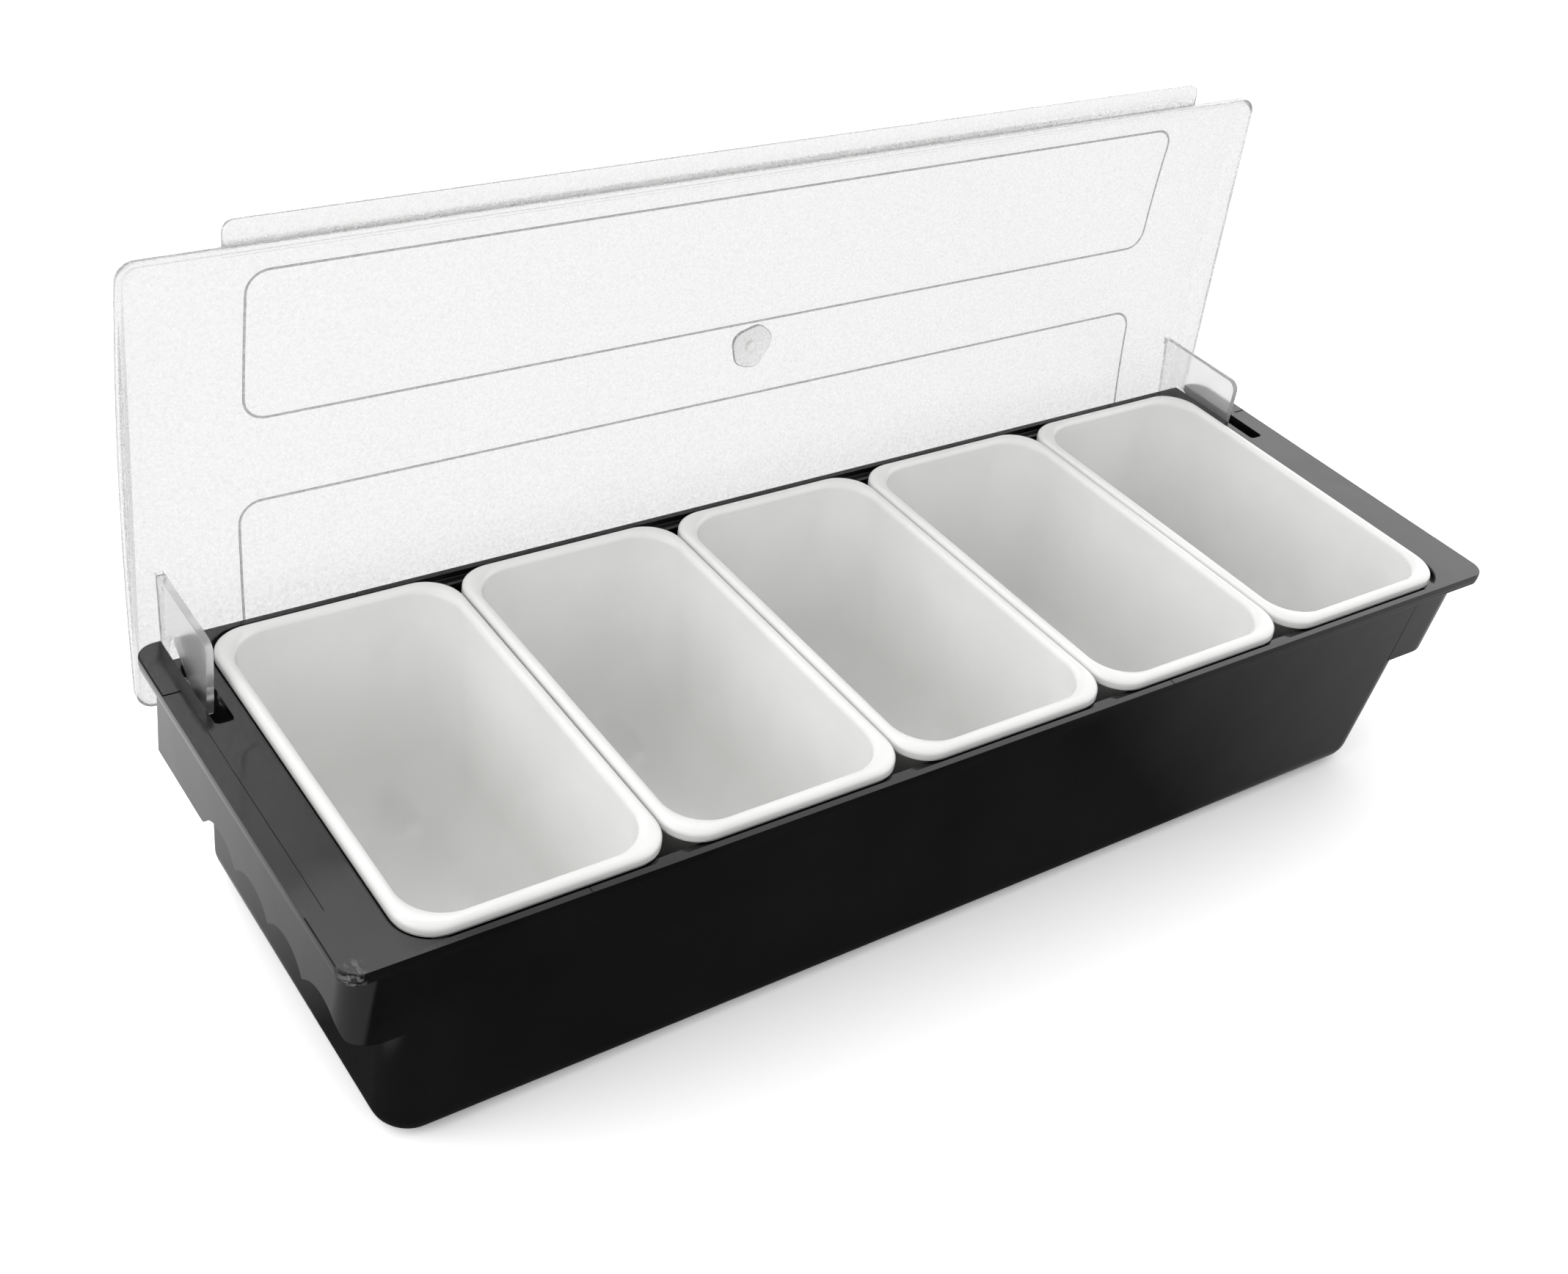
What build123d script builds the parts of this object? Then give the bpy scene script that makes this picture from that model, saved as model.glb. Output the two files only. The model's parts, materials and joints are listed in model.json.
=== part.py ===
from build123d import *
from math import hypot, radians, sqrt, tan
import os

# Condiment caddy with one flip lid, in millimetres. X runs along the caddy, Y from its front to its
# back, Z up. The origin is the centre of the flat face that the tray stands on. The lid is modelled
# flipped open, hanging on the pins in the tray's end shelves.

# Tray: rim
rim_length = 500
rim_width = 167.5
rim_corner = 7
rim_depth = 4.8            # height of the down-turned edge
rim_edge = 2               # its thickness under the end shelves
rim_round = 0.8
shelf_thickness = 2.5
cut_past = 5               # cuts run this far beyond the faces that they open
rail_width = 3.4           # from the recess round the bins to the rim's outer edge
ledge_depth = 2.3          # the bins' flanges lie on a ledge this far below the rim's top
ledge_width = 3

# Tray: tub and end skirts
tray_height = 101
tray_wall = 2.5
tub_corner = 13
tub_back_corner = 7
tub_back_foot = 12         # the back corners widen to this at the foot
tub_foot_round = 11
front_draft = 7.5          # degrees
back_draft = 0.5           # degrees
end_draft = 1.5            # degrees
end_shelf = 21             # from the recess to the rim's end
skirt_height = 41.5
skirt_inset = 6            # from the rim's end back to the skirt
skirt_wall = 2
skirt_front_corner = 12
skirt_back_corner = 1.5
arch_count = 4
arch_pitch = 26.2
arch_height = 7.8
arch_last = 36.5           # the end of the arches nearest the back
cusp_rise = 1              # the cusps between the arches stop this far above the skirt's lower edge
cusp_round = 1
arch_end_round = 3

# Tray: slots, pins and cross bars that the lid's ears hook onto
slot_width = 6.6
slot_inset = 9.8           # from the rim's end to the slot
slot_front = 35            # Y of the slot's closed end
slot_corner = 1.6
slot_depth = 31            # how far down the slot opens the skirt's back wall
pin_y = 71.4
pin_drop = 16.7            # from the rim's top down to the pin's axis
pin_radius = 2.5
bar_front = 75
bar_back = 82.5
bar_drop = 8
bar_thickness = 3
cheek_wall = 2
cheek_front = 66
cheek_depth = 20.5
cheek_gap = 0.3            # between a cheek and the slot above it
cheek_round = 3

# Bins
bin_count = 5
bin_gap = 1
bin_end_gap = 1            # between the outer bins and the recess's ends
bin_side_gap = 1.3         # between the bins' flanges and the recess's sides
flange_roll = 4.8          # width of the rolled flange
flange_height = 4.5
flange_round = 1.9
flange_corner = 19
bin_seat_gap = 0.3
bin_wall = 2
bin_depth = 84             # from the rim's top to the bin's inner floor
bin_side_draft = 7.5       # degrees
bin_end_draft = 3.5        # degrees
bin_floor_round = 26
bin_floor_corner = 30      # the bins' upright corners widen to this at the floor

# Lid
lid_end_gap = 2.7          # the lid is this much shorter than the rim at each end
lid_wall = 1.8
lid_corner = 7
lid_edge_round = 2.6
lid_skirt = 3              # depth of the turned edge, from the panel's chord
lid_back_gap = 8.45        # between the rim's back edge and the panel, at the rim's height
lid_lean = 1.8             # degrees
lid_top = 135.3            # along the panel, from the rim's height to the free edge
lid_tail = 31              # along the panel, below the rim's height
crown_rise = 5.65
crown_top = 135            # the crown's arc spans from here to crown_tail
crown_tail = 25
lip_length = 426
lip_reach = 8.5
lip_corner = 4
lip_sink = 0.4             # from the panel's outer face down to the lip's

# Lid: ears
ear_thickness = 2.6
ear_slot_gap = 0.5         # between the ear and the slot's inner side
ear_front = 19.4           # from the pin's axis forward to the ear's free edge
ear_rise = 35              # from the pin's axis up to the ear's top
ear_top_round = 4.5
ear_chin = 7               # height above the pin's axis where the free edge turns in
ear_chin_round = 3
ear_foot = 4.7             # how far the ear reaches below the pin's axis beside its hook
hook_wall = 3.3
hook_fit = 0.1             # radial clearance between the hook and the pin
hook_mouth = 4.5
notch_reach = 21.4         # radius about the pin that the notch clears
notch_peak_angle = 56      # degrees
notch_front = 3.6          # front lower corner of the notch, forward of the pin's axis
notch_sill = 9.8           # and above it
notch_round = 2
notch_foot = 2             # height above the pin's axis where the notch meets the panel
swing_gap = 0.4            # between the rim's back edge and the lid's turned ends as they swing by
swing_relief = 7.2         # the turned ends are relieved this far in from the lid's ends

# Places that follow from the sizes above
rim_half = rim_length / 2
recess_half = rim_half - end_shelf
recess_side = rim_width / 2 - rail_width
mouth_half = recess_half - ledge_width
mouth_side = recess_side - ledge_width
tub_half = mouth_half + tray_wall
tub_side = recess_side
skirt_foot = tray_height - skirt_height
skirt_end = rim_half - skirt_inset
slot_outer = rim_half - slot_inset
slot_inner = slot_outer - slot_width
pin_z = tray_height - pin_drop
bar_top = tray_height - bar_drop
flange_length = 2 * (recess_side - bin_side_gap)
flange_width = (2 * (recess_half - bin_end_gap) - (bin_count - 1) * bin_gap) / bin_count
bin_pitch = flange_width + bin_gap
flange_base = tray_height - ledge_depth + bin_seat_gap
lid_length = rim_length - 2 * lid_end_gap
panel_y = rim_width / 2 + lid_back_gap
hook_radius = pin_radius + hook_fit + hook_wall
swing_reach = hypot(rim_width / 2 - pin_y, pin_drop) + swing_gap


def rounded_block(length, width, corner, low, high):
    return Pos(0, 0, low) * extrude(RectangleRounded(length, width, corner), high - low)


def drafted_block(length, width, corner, foot_corner, low, high, end_angle, side_angle):
    """A block as long and wide as stated at the top, whose walls draw in towards the bottom."""
    shrink_x = 2 * (high - low) * tan(radians(end_angle))
    shrink_y = 2 * (high - low) * tan(radians(side_angle))
    top = Pos(0, 0, high) * RectangleRounded(length, width, corner)
    bottom = Pos(0, 0, low) * RectangleRounded(length - shrink_x, width - shrink_y, foot_corner)
    return loft([bottom, top], ruled=True)


def both_ends(shape):
    return shape + mirror(shape, Plane.YZ)


# ---------------------------------------------------------------------------------------------
# Tray


def tray_outline(half, front, back, front_corner, back_corner, height):
    """An outline of the tray's walls at a height: half its length, and its reach to front and back."""
    corners = [(-half, -front), (half, -front), (half, back), (-half, back)]
    outline = make_face(Polyline(corners, close=True))
    outline = fillet(outline.vertices().group_by(Axis.Y)[0], front_corner)
    outline = fillet(outline.vertices().group_by(Axis.Y)[-1], back_corner)
    return Pos(0, 0, height) * outline


def tray_block(half, side, front_corner, back_corner, back_foot, low, high, end_angle):
    """A block as large as stated at the top, whose front wall draws in the most towards the bottom."""
    drop = high - low
    half_low = half - drop * tan(radians(end_angle))
    front_low = side - drop * tan(radians(front_draft))
    back_low = side - drop * tan(radians(back_draft))
    top = tray_outline(half, side, side, front_corner, back_corner, high)
    bottom = tray_outline(half_low, front_low, back_low, front_corner, back_foot, low)
    return loft([bottom, top], ruled=True)


def tub_outside():
    block = tray_block(
        tub_half, tub_side, tub_corner, tub_back_corner, tub_back_foot, 0, tray_height, end_draft
    )
    return fillet(block.faces().sort_by(Axis.Z)[0].edges(), tub_foot_round)


def tub_inside():
    """The hollow of the tub, up to the ledge that the bins hang on."""
    block = tray_block(
        mouth_half,
        mouth_side,
        tub_corner - tray_wall,
        tub_back_corner - tray_wall,
        tub_back_foot - tray_wall,
        tray_wall,
        tray_height - ledge_depth,
        end_draft,
    )
    return fillet(block.faces().sort_by(Axis.Z)[0].edges(), tub_foot_round - tray_wall)


def skirt_block(inset):
    """Everything inside the skirts' outer faces, which follow the tub's front and back walls."""
    front_corner = skirt_front_corner - inset
    back_corner = skirt_back_corner - inset / 2
    return tray_block(
        skirt_end - inset,
        tub_side - inset,
        front_corner,
        back_corner,
        back_corner,
        skirt_foot,
        tray_height,
        0,
    )


def arched_edge():
    """Everything above the skirts' lower edge, which has finger arches cut into it."""
    rise = arch_height - cusp_rise
    radius = ((arch_pitch / 2) ** 2 + rise**2) / (2 * rise)
    wide = rim_width + 2 * cut_past
    side = Pos(0, skirt_foot + skirt_height / 2) * Rectangle(wide, skirt_height)
    for number in range(arch_count):
        centre = arch_last - (number + 0.5) * arch_pitch
        side -= Pos(centre, skirt_foot + arch_height - radius) * Circle(radius)
    reach = sqrt(radius**2 - (radius - arch_height) ** 2) - arch_pitch / 2
    ends = [arch_last + reach, arch_last - arch_count * arch_pitch - reach]
    for end in ends:
        side = fillet(side.vertices().sort_by_distance((end, skirt_foot))[0], arch_end_round)
    for number in range(1, arch_count):
        cusp = (arch_last - number * arch_pitch, skirt_foot + cusp_rise)
        side = fillet(side.vertices().sort_by_distance(cusp)[0], cusp_round)
    return extrude(Plane.YZ * side, rim_length, both=True)


def skirts():
    shell = skirt_block(0) - skirt_block(skirt_wall)
    middle = Box(2 * (tub_half - tub_corner), rim_width + 2 * cut_past, 2 * tray_height)
    return (shell - Pos(0, 0, tray_height / 2) * middle) & arched_edge()


def rim():
    """The rim's plate with its down-turned edge, hollow under the two end shelves."""
    low = tray_height - rim_depth
    plate = rounded_block(rim_length, rim_width, rim_corner, low, tray_height)
    top_edges = plate.faces().sort_by(Axis.Z)[-1].edges()
    plate = fillet(top_edges, rim_round)
    pocket_start = recess_half + tray_wall
    pocket_end = rim_half - rim_edge
    pocket_long = pocket_end - pocket_start
    pocket_wide = rim_width - 2 * rim_edge
    pocket = Pos((pocket_start + pocket_end) / 2, 0) * rounded_block(
        pocket_long,
        pocket_wide,
        rim_corner - rim_edge,
        low - cut_past,
        tray_height - shelf_thickness,
    )
    return plate - both_ends(pocket)


def slot_cut():
    """A slot through one end shelf, open at the back, and on down the skirt's back wall."""
    middle = (slot_inner + slot_outer) / 2
    back = rim_width / 2 + cut_past
    plate = Pos(middle, (slot_front + back) / 2, tray_height) * Box(
        slot_width, back - slot_front, 2 * (rim_depth + cut_past)
    )
    plate = fillet(plate.edges().filter_by(Axis.Z).group_by(Axis.Y)[0], slot_corner)
    wall = Pos(middle, (bar_front + back) / 2, tray_height - slot_depth / 2) * Box(
        slot_width, back - bar_front, slot_depth
    )
    return plate + wall


def cheek(start, end):
    """One of the walls that hold the pin and the cross bar, from one X to another."""
    low = tray_height - cheek_depth
    high = tray_height - shelf_thickness / 2
    wall = Pos((start + end) / 2, (cheek_front + bar_back) / 2, (low + high) / 2) * Box(
        end - start, bar_back - cheek_front, high - low
    )
    return fillet(wall.edges().filter_by(Axis.X).group_by(Axis.Z)[0], cheek_round)


def hinge_mount():
    """Two cheeks under one end shelf, with the pin and the flat cross bar between them."""
    inner = slot_inner - cheek_gap - cheek_wall
    outer = skirt_end - skirt_wall / 2
    middle = (inner + outer) / 2
    mount = Pos(middle, pin_y, pin_z) * Rot(0, 90, 0) * Cylinder(pin_radius, outer - inner)
    mount += Pos(middle, (bar_front + bar_back) / 2, bar_top - bar_thickness / 2) * Box(
        outer - inner, bar_back - bar_front, bar_thickness
    )
    mount += cheek(inner, slot_inner - cheek_gap)
    return mount + cheek(slot_outer + cheek_gap, outer)


def tray():
    ledge = tray_height - ledge_depth
    recess = rounded_block(2 * recess_half, 2 * recess_side, rim_corner, ledge, tray_height + cut_past)
    body = tub_outside() + skirts() + rim()
    body -= both_ends(slot_cut())
    body += both_ends(hinge_mount())
    return body - tub_inside() - recess


# ---------------------------------------------------------------------------------------------
# Bins


def bin_body(inset, floor):
    """The bin's tapered body: inset is how far it stands inside the flange's outer edge."""
    top = flange_base
    block = drafted_block(
        flange_width - 2 * inset,
        flange_length - 2 * inset,
        flange_corner - inset,
        bin_floor_corner + flange_roll - inset,
        floor,
        top,
        bin_end_draft,
        bin_side_draft,
    )
    return fillet(block.faces().sort_by(Axis.Z)[0].edges(), bin_floor_round + flange_roll - inset)


def insert():
    """One lift-out bin with a rolled flange, its scooped floor blending into its walls."""
    top = flange_base + flange_height
    floor = tray_height - bin_depth
    flange = rounded_block(flange_width, flange_length, flange_corner, flange_base, top)
    flange = fillet(flange.faces().sort_by(Axis.Z)[-1].edges(), flange_round)
    body = flange + bin_body(flange_roll - bin_wall, floor - bin_wall)
    mouth = rounded_block(
        flange_width - 2 * flange_roll,
        flange_length - 2 * flange_roll,
        flange_corner - flange_roll,
        flange_base,
        top + cut_past,
    )
    body -= mouth + bin_body(flange_roll, floor)
    inner_edge = body.faces().sort_by(Axis.Z)[-1].inner_wires()[0].edges()
    return fillet(inner_edge, flange_round)


# ---------------------------------------------------------------------------------------------
# Lid, drawn with its chord plane upright (local Y outward, local Z along the panel), then leaned back


def crown(rise):
    """Everything behind the crowned panel's inner face, or behind a face this far outside it."""
    span = (crown_top + crown_tail) / 2
    radius = (span**2 + crown_rise**2) / (2 * crown_rise)
    middle = (crown_top - crown_tail) / 2
    prism = Rot(0, 90, 0) * Cylinder(radius + rise, lid_length + 2 * cut_past)
    return Pos(0, crown_rise - radius, middle) * prism


def panel_block(inset, rise):
    """The lid's outline, drawn in by inset, pushed out to a face this far outside the inner one."""
    long = lid_length - 2 * inset
    tall = lid_top + lid_tail - 2 * inset
    outline = Pos(0, (lid_top - lid_tail) / 2) * RectangleRounded(long, tall, lid_corner - inset)
    block = extrude(Plane.XZ * outline, -(crown_rise + rise + cut_past))
    block += extrude(Plane.XZ * outline, lid_skirt + inset)
    return block & crown(rise)


def lid_lip():
    """The finger lip along the free edge, level with the panel's outer face."""
    tall = lip_reach + lid_wall
    outline = Pos(0, lid_top + lip_reach - tall / 2) * Rectangle(lip_length, tall)
    outline = fillet(outline.vertices().group_by(Axis.Y)[-1], lip_corner)
    return Pos(0, lid_wall - lip_sink, 0) * extrude(Plane.XZ * outline, lid_wall)


def ear_outline():
    """One ear, seen along X from the pin's axis: Y towards the panel, Z up."""
    far = panel_y - pin_y + crown_rise + cut_past
    corners = [
        (far, ear_rise),
        (-ear_front, ear_rise),
        (-ear_front, ear_chin),
        (-hook_radius, -ear_foot),
        (0, -ear_foot),
        (0, notch_foot),
        (far, notch_foot),
    ]
    plate = make_face(Polyline(corners, close=True))
    plate = fillet(plate.vertices().group_by(Axis.X)[0].sort_by(Axis.Y)[-1], ear_top_round)
    plate = fillet(plate.vertices().group_by(Axis.X)[0].sort_by(Axis.Y)[0], ear_chin_round)
    peak = Vector(notch_reach, 0).rotate(Axis.Z, notch_peak_angle)
    notch_corners = [
        (-notch_front, notch_sill),
        (peak.X, peak.Y),
        (far + cut_past, peak.Y),
        (far + cut_past, -notch_reach),
        (0, -notch_reach),
        (0, 0),
    ]
    notch = make_face(Polyline(notch_corners, close=True)) & Circle(notch_reach)
    notch = fillet(notch.vertices().sort_by_distance((-notch_front, notch_sill))[0], notch_round)
    hook = Circle(hook_radius) - Circle(pin_radius + hook_fit)
    hook -= Pos(0, -notch_reach / 2) * Rectangle(hook_mouth, notch_reach)
    return plate - notch - Circle(hook_radius) + hook


def lid():
    shell = panel_block(0, lid_wall)
    outer_face = shell.faces().sort_by(Axis.Y)[-1]
    shell = fillet(outer_face.outer_wire().edges(), lid_edge_round)
    shell = shell - panel_block(lid_wall, 0) + lid_lip()
    lean = Pos(0, panel_y, tray_height) * Rot(-lid_lean, 0, 0)
    ear = Pos(slot_inner + ear_slot_gap, pin_y, pin_z) * extrude(Plane.YZ * ear_outline(), ear_thickness)
    ear = ear & (lean * crown(lid_wall / 2))
    relief = Pos(lid_length / 2, pin_y, pin_z) * Rot(0, 90, 0) * Cylinder(swing_reach, swing_relief)
    return lean * shell - both_ends(relief) + both_ends(ear)


os.makedirs("parts", exist_ok=True)
export_step(tray(), "parts/base_tray.step")
for number in range(bin_count):
    place = (number - (bin_count - 1) / 2) * bin_pitch
    export_step(Pos(place, 0, 0) * insert(), f"parts/insert_{number + 1}.step")
export_step(lid(), "parts/lid.step")
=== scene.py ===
import json
from math import asin, cos, degrees, hypot, pi, radians, sin, sqrt, tan

import bmesh
import bpy
from mathutils import Matrix, Vector


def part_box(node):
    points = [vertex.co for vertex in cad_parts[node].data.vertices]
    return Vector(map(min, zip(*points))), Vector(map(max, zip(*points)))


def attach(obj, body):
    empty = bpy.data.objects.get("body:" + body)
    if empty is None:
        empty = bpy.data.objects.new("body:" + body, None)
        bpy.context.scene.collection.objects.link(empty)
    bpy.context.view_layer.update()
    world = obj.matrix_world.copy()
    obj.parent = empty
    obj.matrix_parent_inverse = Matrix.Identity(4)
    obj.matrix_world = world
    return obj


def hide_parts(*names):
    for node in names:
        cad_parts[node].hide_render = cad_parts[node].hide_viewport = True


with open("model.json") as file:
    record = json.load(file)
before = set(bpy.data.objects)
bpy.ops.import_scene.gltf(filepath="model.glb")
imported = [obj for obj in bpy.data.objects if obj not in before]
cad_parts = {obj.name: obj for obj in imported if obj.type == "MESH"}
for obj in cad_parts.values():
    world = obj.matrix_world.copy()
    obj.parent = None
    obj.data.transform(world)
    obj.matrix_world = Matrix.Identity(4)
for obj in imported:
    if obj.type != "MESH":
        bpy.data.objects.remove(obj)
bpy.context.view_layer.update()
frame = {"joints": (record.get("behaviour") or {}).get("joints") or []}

# ------------------------------------------------------------------------------------------------
# The tray. One injection moulding in black gloss plastic: a drafted tub, a ledge that the bins hang
# on, a rim with a down-turned lip, and a hollow shelf at each end. Sizes are in millimetres.

MM = 1000
rim_x, rim_y, rim_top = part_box("base_tray")[1] * MM
shelf = 21                   # from the recess to the rim's end
rail = 2.4                   # from the recess to the rim's front and back edges
ledge_drop = 2.3
ledge = 3                    # the width that carries the bins at the ends
long_ledge = 4               # and at the front and the back
recess_corner = 14.5
lip_drop = 4.8
lip_wall = 2
lip_step_top = 3             # the lip's face steps in a little, from here down to the next height
lip_step_foot = 3.2
lip_step = 0.25
rim_soft = 0.8               # how far each turn of the rim is rounded
plate = 2.5
rim_corner = 7
tub_wall = 2.5
tub_corner = 13
tub_back_corner = 7
tub_foot = 11
front_draft = radians(7.5)
back_draft = radians(0.5)
end_draft = radians(1.5)

mouth_x = rim_x - shelf - ledge
mouth_y = rim_y - rail - long_ledge
tub_x = mouth_x + tub_wall
tub_y = mouth_y + ledge


def rounded_outline(half_x, front, back, front_corner, back_corner, steps):
    """Points round a rectangle with rounded corners, anticlockwise from the right end of its front."""
    points = []
    corners = [(1, -1, front_corner), (1, 1, back_corner), (-1, 1, back_corner), (-1, -1, front_corner)]
    for turn, (side_x, side_y, corner) in enumerate(corners):
        reach = back if side_y > 0 else front
        for step in range(steps + 1):
            angle = radians(-90 + 90 * turn + 90 * step / steps)
            x = side_x * (half_x - corner) + corner * cos(angle)
            y = side_y * (reach - corner) + corner * sin(angle)
            points.append((x, y))
    return points


def even_ring(half_x, half_y, corner, z):
    """A ring of a skinned shape that is the same to the front and to the back."""
    return (half_x, half_y, half_y, corner, corner, z)


def drawn_in(z, draft, foot_z, foot_round):
    """How far a wall's foot round brings it in from its drafted line, at this height."""
    rise = foot_z + foot_round - z
    if rise <= foot_round * sin(draft):
        return 0
    line = (z - foot_z) * tan(draft) + foot_round * (1 - sin(draft)) / cos(draft)
    return line - sqrt(max(foot_round**2 - rise**2, 0))


def drafted_rings(top, top_z, foot_z, foot_round, drafts, corners, wall_steps=6, foot_steps=9):
    """Rings down drafted walls and round into their floor. Drafts: ends, front, back."""
    bend = foot_z + foot_round
    least_corner = 3
    heights = [top_z + (bend - top_z) * step / wall_steps for step in range(wall_steps)]
    heights += [bend - foot_round * sin(radians(90 * step / foot_steps)) for step in range(foot_steps + 1)]
    rings = []
    for z in heights:
        reach = []
        for at_top, draft in zip(top, drafts):
            reach.append(at_top - (top_z - z) * tan(draft) - drawn_in(z, draft, foot_z, foot_round))
        inset = drawn_in(z, drafts[1], foot_z, foot_round)
        down = (top_z - z) / (top_z - foot_z)
        round_to = []
        for corner_top, corner_foot in corners:
            corner = corner_top + (corner_foot - corner_top) * down
            round_to.append(corner - inset * min(1, (corner - least_corner) / foot_round))
        rings.append((*reach, *round_to, z))
    return rings


def softened(rings, radius, steps=3):
    """The same run of rings with each turn between them rounded off."""
    soft = [rings[0]]
    for before, at, after in zip(rings, rings[1:], rings[2:]):
        at_v = Vector(at)
        arm_in = Vector(before) - at_v
        arm_out = Vector(after) - at_v
        reach_in = min(radius, arm_in.length * 0.45)
        reach_out = min(radius, arm_out.length * 0.45)
        start = at_v + arm_in.normalized() * reach_in
        end = at_v + arm_out.normalized() * reach_out
        for step in range(steps + 1):
            t = step / steps
            soft.append(tuple(start.lerp(at_v, t).lerp(at_v.lerp(end, t), t)))
    soft.append(rings[-1])
    return soft


def skinned(shape, loops, closed=True):
    """Lays faces between neighbouring loops of points, or between rows of them that stay open."""
    for first, second in zip(loops, loops[1:]):
        for at in range(len(first) if closed else len(first) - 1):
            nxt = (at + 1) % len(first)
            shape.faces.new((first[at], first[nxt], second[nxt], second[at]))


def solid_over(shape, loops):
    """Skins a shape over its loops and fills the first and the last one flat."""
    skinned(shape, loops)
    shape.faces.new(list(reversed(loops[0])))
    shape.faces.new(loops[-1])
    return shape


def shape_from_rings(rings, steps):
    """A closed shape skinned over a run of rounded rectangles."""
    shape = bmesh.new()
    loops = []
    for *plan, z in rings:
        outline = rounded_outline(*plan, steps)
        loops.append([shape.verts.new((x / MM, y / MM, z / MM)) for x, y in outline])
    return solid_over(shape, loops)


def crisp_edges(shape, sharp):
    """Marks the edges that turn by more than this many degrees, so that the shading breaks there."""
    for edge in shape.edges:
        edge.smooth = len(edge.link_faces) == 2 and edge.calc_face_angle(0) < radians(sharp)


def finished(name, shape, sharp=35):
    """Turns a worked shape into a smooth-shaded object with outward faces and crisp real edges."""
    bmesh.ops.remove_doubles(shape, verts=shape.verts, dist=1e-7)
    bmesh.ops.recalc_face_normals(shape, faces=shape.faces)
    for face in shape.faces:
        face.smooth = True
    crisp_edges(shape, sharp)
    mesh = bpy.data.meshes.new(name)
    shape.to_mesh(mesh)
    shape.free()
    piece = bpy.data.objects.new(name, mesh)
    bpy.context.scene.collection.objects.link(piece)
    return piece


def settled(piece):
    """Applies a piece's modifiers, so that it is a plain mesh."""
    graph = bpy.context.evaluated_depsgraph_get()
    mesh = bpy.data.meshes.new_from_object(piece.evaluated_get(graph))
    piece.modifiers.clear()
    piece.data = mesh
    return piece


def cut(piece, tool, how="DIFFERENCE"):
    """Cuts a tool out of a piece, or joins it on, and throws the tool away."""
    change = piece.modifiers.new("cut", "BOOLEAN")
    change.operation = how
    change.solver = "EXACT"
    change.object = tool
    settled(piece)
    bpy.data.objects.remove(tool)
    return piece


def even_shading(piece, sharp=40):
    """Weights the shading by face size, so that flat faces beside small rounds look flat."""
    shape = bmesh.new()
    shape.from_mesh(piece.data)
    crisp_edges(shape, sharp)
    shape.to_mesh(piece.data)
    shape.free()
    change = piece.modifiers.new("even shading", "WEIGHTED_NORMAL")
    change.keep_sharp = True
    return settled(piece)


def block(low, high):
    """A plain block between two corners, for a cutting tool, a cheek or the cross bar."""
    shape = bmesh.new()
    bmesh.ops.create_cube(shape, size=1)
    for vert in shape.verts:
        vert.co = [(a + b) / 2 / MM + c * (b - a) / MM for a, b, c in zip(low, high, vert.co)]
    return shape


tray_drafts = (end_draft, front_draft, back_draft)
mouth_corners = (tub_corner - tub_wall, tub_back_corner - tub_wall)
ledge_z = rim_top - ledge_drop
inside = drafted_rings(
    (mouth_x, mouth_y, mouth_y), ledge_z, tub_wall, tub_foot - tub_wall, tray_drafts,
    [(corner, corner) for corner in mouth_corners],
)
under_plate = rim_top - plate
outside = drafted_rings(
    [reach - plate * tan(draft) for reach, draft in zip((tub_x, tub_y, tub_y), tray_drafts)],
    under_plate, 0, tub_foot, tray_drafts, [(tub_corner, tub_corner), (tub_back_corner, tub_back_corner)],
)
mouth = (mouth_x, mouth_y, mouth_y, *mouth_corners)


def rim_ring(inset, z):
    """A ring of the rim this far inside its outline."""
    return even_ring(rim_x - inset, rim_y - inset, rim_corner - inset, z)


rim_profile = [
    (*mouth, ledge_z - 1),       # only leads into the ledge's edge, and isn't built
    (*mouth, ledge_z),
    even_ring(mouth_x + ledge, mouth_y + long_ledge, recess_corner, ledge_z),
    even_ring(mouth_x + ledge, mouth_y + long_ledge, recess_corner, rim_top),
    rim_ring(0, rim_top),
    rim_ring(0, rim_top - lip_step_top),
    rim_ring(lip_step, rim_top - lip_step_foot),
    rim_ring(lip_step, rim_top - lip_drop),
    rim_ring(lip_wall, rim_top - lip_drop),
    rim_ring(lip_wall, under_plate),
    outside[0],
    outside[1],
]
rim_rings = softened(rim_profile, rim_soft)
tray_rings = list(reversed(inside[1:])) + rim_rings[1:-1] + outside[1:]
tray = finished("tray", shape_from_rings(tray_rings, steps=12))

# ------------------------------------------------------------------------------------------------
# The end skirts. A thin wall hangs under each end shelf, level with the tub's front, and its lower
# edge has four finger arches. It is moulded in one with the tray.

skirt_drop = 41.5
skirt_inset = 6              # from the rim's end
skirt_x = rim_x - skirt_inset
skirt_wall = 2
skirt_front_corner = 12
skirt_back_corner = 2.4
skirt_start = tub_x - tub_corner + 0.5
arch_pitch = 26.2
arch_height = 7.8
arch_back = 36.5
arch_count = 4
cusp_rise = 1
cusp_soft = 0.9              # how far the corners between arches are rounded
foot_soft = 1.2              # and the corners where the arches meet the straight edge
skirt_proud = 0.02           # off the tub's faces, so that the two never share one
skirt_root = 1               # how far the top runs into the shelf
skirt_edge = 0.5             # the rounding of the lower edge
skirt_foot = rim_top - skirt_drop


def higher(a, b, softness):
    """The higher of two heights, with the corner where they cross rounded off."""
    return (a + b + sqrt((a - b) ** 2 + softness**2)) / 2


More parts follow.
